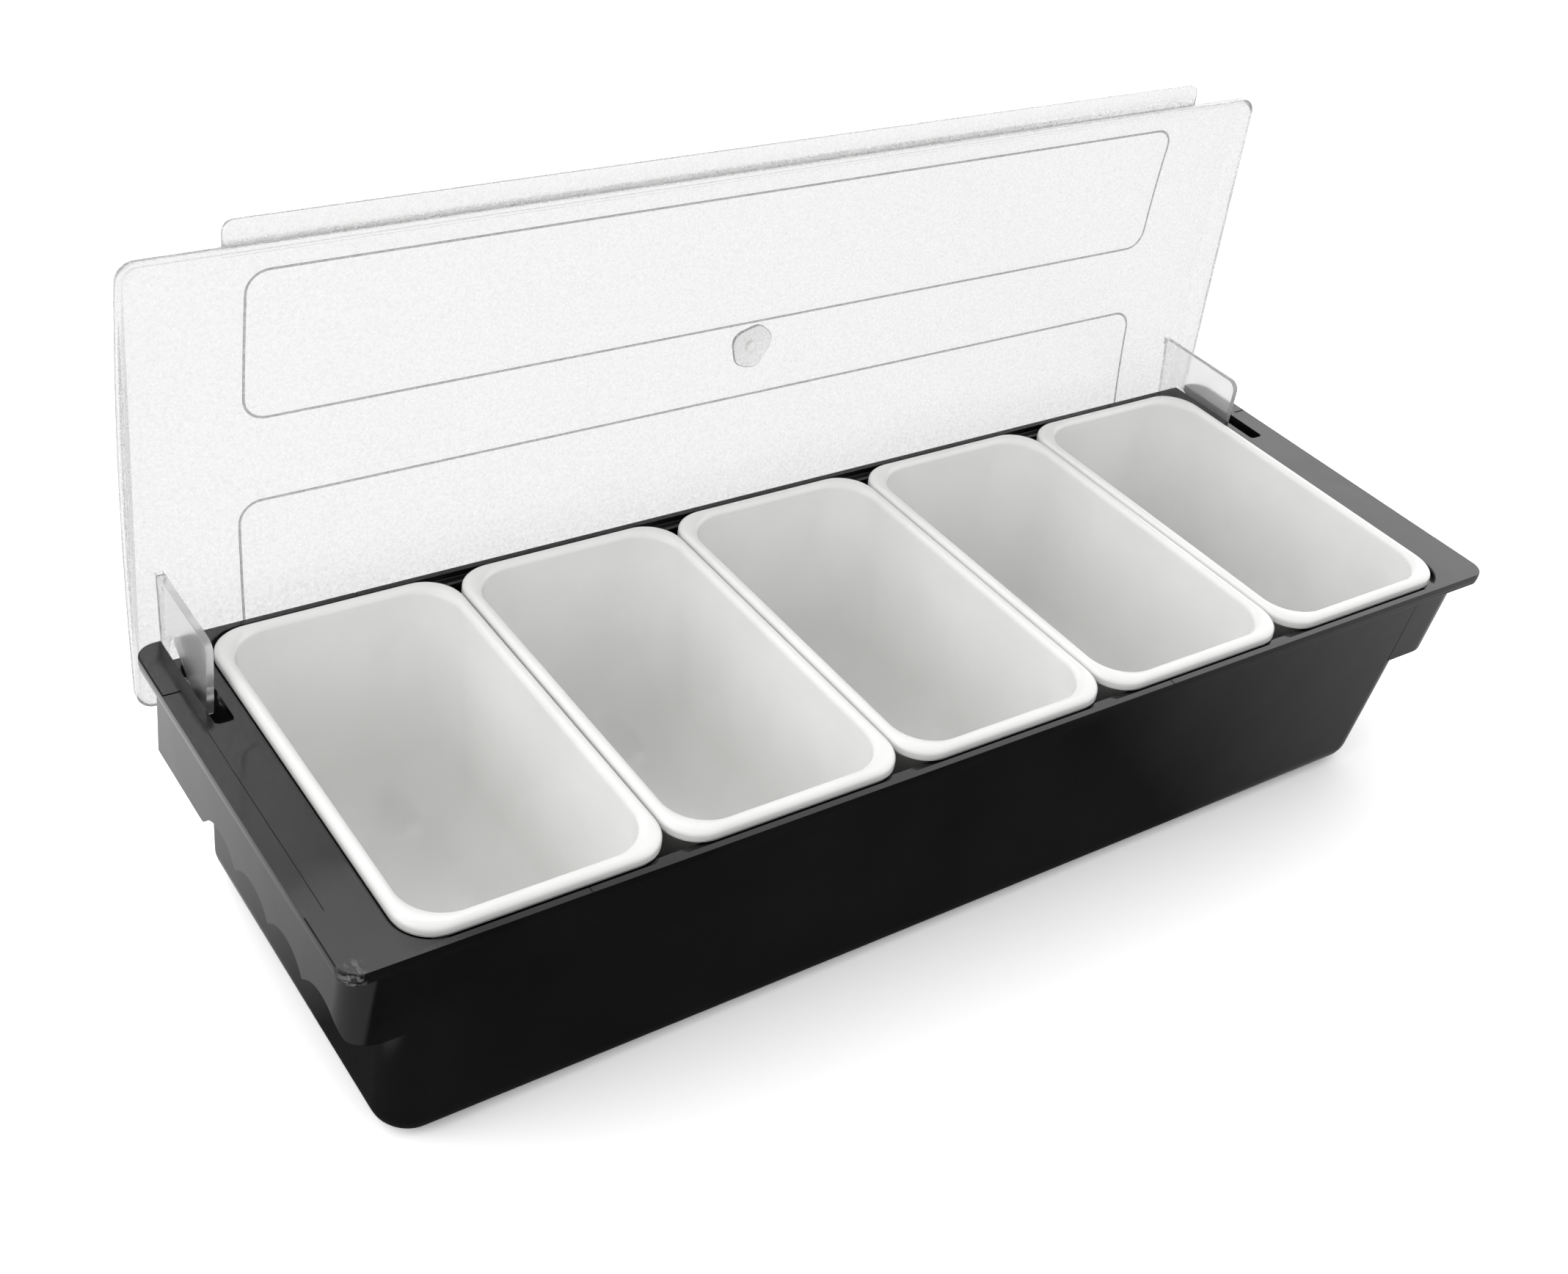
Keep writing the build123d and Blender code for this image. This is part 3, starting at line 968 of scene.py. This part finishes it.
def laid_on_panel(piece):
    """Lays a flat drawing (x across, y along, z thickness) onto the panel's crowned inner face."""
    for vert in piece.data.vertices:
        x, along, thick = (value * MM for value in vert.co)
        vert.co = on_lid(x, crown(along) + bead_sunk + thick * bead_height / bead_width * 2, along)
    shape = bmesh.new()
    shape.from_mesh(piece.data)
    bmesh.ops.recalc_face_normals(shape, faces=shape.faces)
    for face in shape.faces:
        face.smooth = True
    shape.to_mesh(piece.data)
    shape.free()
    return piece


lines = []
for name, (half_width, low, high) in frames.items():
    sizes = (2 * half_width, high - low, (high + low) / 2, frame_corner, bead_width)
    settings = {bead_keys[given_name]: size / MM for given_name, size in zip(bead_inputs, sizes)}
    lines.append(laid_on_panel(made_by(beads, f"lid_line_{name}", settings)))

gate_along = 58              # the gate's place up the panel
gate_steps = 48


def gate_shape():
    """The ring and the nub, turned about the gate's axis and a little out of round."""
    profile = [(0, -0.9), (1.6, -0.9), (2.1, -0.6), (2.3, 0.1), (3.6, 0.3), (5.4, 0.25), (7.4, 0.1)]
    profile += [(8.0, -0.25), (8.5, -0.3), (8.9, -0.05), (9.1, 0.4), (8.5, 0.9), (0, 0.9)]
    shape = bmesh.new()
    loops = []
    for radius, out in profile:
        loop = []
        for step in range(gate_steps):
            angle = 2 * pi * step / gate_steps
            wobble = 1 + 0.05 * sin(3 * angle) + 0.04 * sin(5 * angle + 1)
            x, along = radius * wobble * cos(angle), gate_along + radius * wobble * sin(angle)
            loop.append(shape.verts.new(on_lid(x, crown(along) + out, along)))
        loops.append(loop)
    skinned(shape, loops)
    return shape


gate = finished("lid_gate", gate_shape(), sharp=80)

# The lid's plastic: clear, with a fine pebbled grain that scatters the light a little. The grain is
# on the panel alone and fades out towards the ears. Places are in metres.


def coordinate(nodes, links, place, axis):
    """One coordinate of a place."""
    apart = nodes.new("ShaderNodeSeparateXYZ")
    links.new(place, apart.inputs["Vector"])
    return apart.outputs[axis]


grain_from = (0.0890, 0.0900)
grain_spread = (0.35, 0.6)
clear, nodes, links, shader, place = new_material("clear grained plastic", (0.98, 0.98, 0.98), 0.12)
shader.inputs["IOR"].default_value = 1.34
on_panel = graded(nodes, links, coordinate(nodes, links, place, "Y"), 0, 1, grain_from)
grain = joined(nodes, links, "MULTIPLY", noise(nodes, links, place, 700, 3), on_panel)
links.new(graded(nodes, links, grain, 0.18, 0.28, (0.1, 0.65)), shader.inputs["Roughness"])
links.new(graded(nodes, links, grain, 0.84, 0.94, grain_spread), shader.inputs["Transmission Weight"])
clear_low, clear_high = (0.98, 0.98, 0.98), (1, 1, 1)
tinted(nodes, links, shader, graded(nodes, links, grain, 0, 1, grain_spread), clear_low, clear_high)
bumped(nodes, links, shader, grain, 0.00005)

# The beads show as frosted lines: a rough surface, and a grey colour that is painted shade and darkens
# them.

frosted_and_shaded, nodes, links, shader, place = new_material("clear plastic at a moulded edge, painted grey as shade", (0.62,) * 3, 0.45)
shader.inputs["Transmission Weight"].default_value = 0.85
shader.inputs["IOR"].default_value = 1.3
fleck = noise(nodes, links, place, 900, 2)
# The flecked grey colour here is painted shade on the clear beads.
tinted(nodes, links, shader, graded(nodes, links, fleck, 0, 1), (0.5,) * 3, (0.75,) * 3)
bumped(nodes, links, shader, fleck, 0.00002)

for piece, plastic in [(lid, clear), (gate, clear), *[(line, frosted_and_shaded) for line in lines]]:
    piece.data.materials.clear()
    piece.data.materials.append(plastic)
    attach(piece, "lid")
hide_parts("lid")

# ------------------------------------------------------------------------------------------------
# The studio: a pale floor that keeps the shadow, a white surround, soft lamps, and the camera at
# the photograph's angle.

floor_half = 6
floor_down = 0.0002          # under the tray's foot, so that the two never share a plane
floor_shape = bmesh.new()
bmesh.ops.create_grid(floor_shape, x_segments=1, y_segments=1, size=floor_half)
floor = finished("floor", floor_shape)
floor.data.transform(Matrix.Translation((0, 0, -floor_down)))


def kinds_of_ray(nodes):
    """Whether a ray comes straight from the camera, has passed the clear lid, or was mirrored."""
    rays = nodes.new("ShaderNodeLightPath").outputs
    return rays["Is Camera Ray"], rays["Is Transmission Ray"], rays["Is Glossy Ray"]


def chosen(nodes, links, factor, plain, other, out):
    """Shows the plain shader where the factor is 0 and the other one where it is 1."""
    choose = nodes.new("ShaderNodeMixShader")
    links.new(factor, choose.inputs["Fac"])
    links.new(plain.outputs[0], choose.inputs[1])
    links.new(other.outputs[0], choose.inputs[2])
    links.new(choose.outputs[0], out.inputs["Surface"])


# The floor's paint is whiter to the camera than to the light. To a mirrored ray the floor has a
# brightness of its own, so that the black plastic takes the tones of the photograph: it rises to
# the right and to the back, and left of the tub's end wall it is pale, which the skirt mirrors
# and the wall behind its finger arches doesn't. Through the lid it is white. Places are in metres.

paint_tones = (0.8, 1.7)
rise_right, tones_right = (0.12, 0.42), (0, 0.75)
rise_back, tones_back = (-0.01, 0.18), (0.05, 1.3)
rise_left = (-0.264, -0.252)
left_base, left_share = 0.7, 0.65
pale = bpy.data.materials.new("pale floor")
pale.use_nodes = True
nodes, links = pale.node_tree.nodes, pale.node_tree.links
nodes.clear()
paint = nodes.new("ShaderNodeBsdfDiffuse")
glow = nodes.new("ShaderNodeEmission")
out = nodes.new("ShaderNodeOutputMaterial")
straight, seen_through, mirrored = kinds_of_ray(nodes)
links.new(graded(nodes, links, straight, *paint_tones, (0, 1)), paint.inputs["Color"])
place = nodes.new("ShaderNodeTexCoord").outputs["Object"]
across, depth = (coordinate(nodes, links, place, axis) for axis in "XY")
to_right = graded(nodes, links, across, *tones_right, rise_right)
to_back = graded(nodes, links, depth, *tones_back, rise_back)
to_left = graded(nodes, links, across, 1, 0, rise_left)
beside_end = joined(nodes, links, "MULTIPLY", joined(nodes, links, "ADD", to_back, left_base), left_share)
beside_end = joined(nodes, links, "MULTIPLY", beside_end, to_left)
tone = joined(nodes, links, "MAXIMUM", joined(nodes, links, "ADD", to_right, to_back), beside_end)
in_gloss = joined(nodes, links, "MULTIPLY", tone, joined(nodes, links, "SUBTRACT", 1, seen_through))
links.new(joined(nodes, links, "ADD", in_gloss, seen_through), glow.inputs["Strength"])
chosen(nodes, links, joined(nodes, links, "MAXIMUM", mirrored, seen_through), paint, glow, out)
floor.data.materials.append(pale)

# The surround is white to the camera and through the lid. To a mirrored ray it is a soft card that
# brightens to the right and never goes quite dark.

surround_light = 0.95
card_from, card_tones = (-0.45, 0.75), (0, 1.8)
card_least = 0.25
world = bpy.data.worlds.new("white surround")
bpy.context.scene.world = world
world.use_nodes = True
nodes, links = world.node_tree.nodes, world.node_tree.links
nodes.clear()
surround = nodes.new("ShaderNodeBackground")
surround.inputs["Strength"].default_value = surround_light
backdrop = nodes.new("ShaderNodeBackground")
out = nodes.new("ShaderNodeOutputWorld")
straight, seen_through, mirrored = kinds_of_ray(nodes)
seen = joined(nodes, links, "MAXIMUM", joined(nodes, links, "MAXIMUM", straight, seen_through), mirrored)
way = nodes.new("ShaderNodeTexCoord").outputs["Generated"]
rising = graded(nodes, links, coordinate(nodes, links, way, "X"), *card_tones, card_from)
card = joined(nodes, links, "MAXIMUM", joined(nodes, links, "MULTIPLY", rising, rising), card_least)
in_gloss = joined(nodes, links, "SUBTRACT", mirrored, seen_through)
shown = joined(nodes, links, "ADD", joined(nodes, links, "MULTIPLY", in_gloss, card), straight)
links.new(joined(nodes, links, "ADD", shown, seen_through), backdrop.inputs["Strength"])
chosen(nodes, links, seen, surround, backdrop, out)


def soft_lamp(name, place, aim, size, power):
    """A rectangular soft box that points at a spot."""
    data = bpy.data.lights.new(name, "AREA")
    data.shape = "RECTANGLE"
    data.size, data.size_y = size
    data.energy = power
    lamp = bpy.data.objects.new(name, data)
    bpy.context.scene.collection.objects.link(lamp)
    direction = Vector(aim) - Vector(place)
    lamp.matrix_world = Matrix.Translation(place) @ direction.to_track_quat("-Z", "Y").to_matrix().to_4x4()
    return lamp


# Places and sizes in metres, power in watts. The front one only fills: no gloss mirrors it.

soft_lamp("soft box over the back", (-0.3, 1.0, 1.5), (0, 0, 0.05), (1.6, 1.2), 10)
soft_lamp("soft box on the left", (-1.5, 0.1, 0.9), (0, 0, 0.05), (1.2, 1.2), 8)
fill = soft_lamp("soft box at the front", (-0.5, -1.4, 0.5), (0, 0, 0.09), (1.2, 0.8), 2.5)
fill.visible_glossy = False

# The camera, as fitted to the photograph: its place, the way it looks, and its lens.

look_azimuth = radians(39.16)
look_down = radians(30.92)
roll = radians(8.99)
camera_place = Vector((-0.43047, -0.46026, 0.52970))
forward = Vector((sin(look_azimuth) * cos(look_down), cos(look_azimuth) * cos(look_down), -sin(look_down)))
level_right = Vector((cos(look_azimuth), -sin(look_azimuth), 0))
level_up = level_right.cross(forward)
right = level_right * cos(roll) + level_up * sin(roll)
up = right.cross(forward)

photo_width, photo_height = 2137, 1736
focal_px = 2805.7
optical_row = 637.4          # the photograph's row that the lens's axis meets
camera_data = bpy.data.cameras.new("camera")
camera_data.sensor_width = 36
camera_data.lens = focal_px * camera_data.sensor_width / photo_width
camera_data.shift_y = (optical_row - photo_height / 2) / photo_width
camera = bpy.data.objects.new("camera", camera_data)
bpy.context.scene.collection.objects.link(camera)
turn = Matrix((right, up, -forward)).transposed().to_4x4()
camera.matrix_world = Matrix.Translation(camera_place) @ turn
bpy.context.scene.camera = camera
bpy.context.scene.view_settings.view_transform = "Standard"
